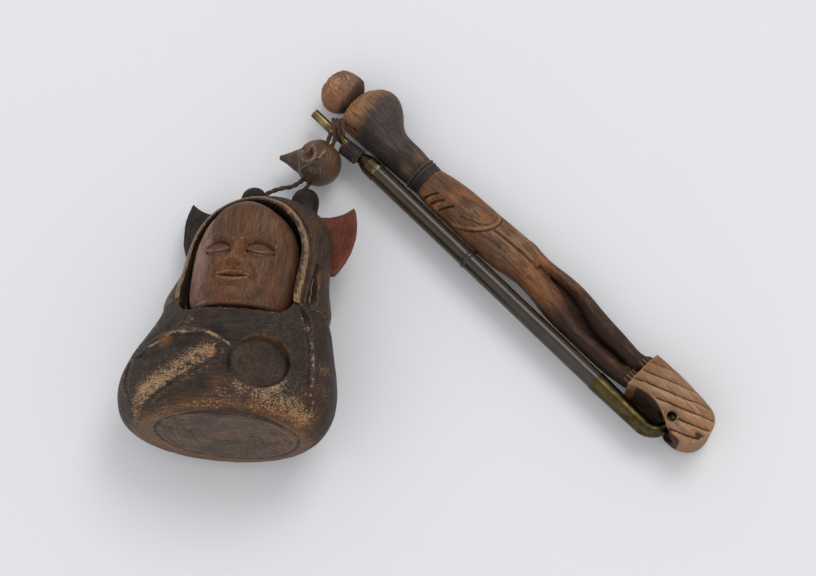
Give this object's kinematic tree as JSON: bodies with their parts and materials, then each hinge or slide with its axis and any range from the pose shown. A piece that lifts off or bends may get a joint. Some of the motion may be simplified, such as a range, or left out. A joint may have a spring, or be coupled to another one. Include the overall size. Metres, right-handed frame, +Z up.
{
  "type": "tobacco box and pipe holder set",
  "caption": "Carved wooden tobacco box shaped as a hooded figure with a lift-off lid, corded through a sliding skull bead to a long-legged holder that carries a slim brass and bamboo pipe.",
  "frame": {"origin": "on the table at the middle of the set's box", "axes": "+Z up from the table, +X to the right as pictured, +Y away from the viewer; the box lies on its back at -X with its crown towards +Y"},
  "size_m": [0.2316, 0.165, 0.0593],
  "materials": {
    "box_wood": "carved hardwood, dark worn patina, satin",
    "hood_wood": "carved hardwood, dark worn patina, satin",
    "ear_wood": "carved hardwood, near-black outside, dull red inside",
    "head_wood": "reddish carved hardwood, polished by wear",
    "cowl_wood": "dark turned and carved hardwood, orange where worn",
    "holder_wood": "brown carved hardwood, satin, worn lighter on ridges",
    "block_wood": "lighter carved hardwood with visible grain, satin",
    "peg_wood": "plain hardwood, hidden",
    "bead_wood": "dark carved hardwood or nut, satin",
    "pipe_brass": "tarnished brass, satin",
    "stem_bamboo": "bamboo cane, smoked brown, glossy",
    "cord": "twisted cord, matt"
  },
  "bodies": {
    "hood": {"hood_lid": "hood_wood", "ear_left": "ear_wood", "ear_right": "ear_wood", "head_peg": "peg_wood", "cord_left": "cord", "cord_right": "cord", "cord_knot": "cord"},
    "box": {"box_body": "box_wood"},
    "head": {"head": "head_wood"},
    "bead": {"skull_bead": "bead_wood"},
    "holder": {"holder_cowl": "cowl_wood", "holder_finial": "holder_wood", "finial_peg": "peg_wood", "holder_figure": "holder_wood", "foot_pegs": "peg_wood", "foot_block": "block_wood", "pipe_loop": "cord", "cord_tie": "cord"},
    "pipe": {"pipe_mouthpiece": "pipe_brass", "pipe_stem": "stem_bamboo", "pipe_neck": "pipe_brass", "pipe_bowl": "pipe_brass"}
  },
  "joints": [
    {"name": "lid_pull", "type": "slide", "parent": "hood", "child": "box", "axis": [-0.1202, -0.9789, 0.165], "range_m": [0, 0.04]},
    {"name": "head_turn", "type": "hinge", "parent": "hood", "child": "head", "pos_m": [-0.06579, -0.00616, 0.03292], "axis": [0.1202, 0.9789, -0.165], "range_deg": [-8, 8]},
    {"name": "bead_slide", "type": "slide", "parent": "hood", "child": "bead", "axis": [0.5248, 0.8398, 0.1392], "range_m": [-0.0015, 0.0005]},
    {"name": "holder_swing", "type": "hinge", "parent": "hood", "child": "holder", "pos_m": [-0.03406, 0.05532, 0.01724], "axis": [0, 0, 1], "range_deg": [0, 30]},
    {"name": "pipe_swing", "type": "hinge", "parent": "holder", "child": "pipe", "pos_m": [-0.02631, 0.04695, 0.01104], "axis": [0, 0, -1], "range_deg": [0, 6]}
  ]
}
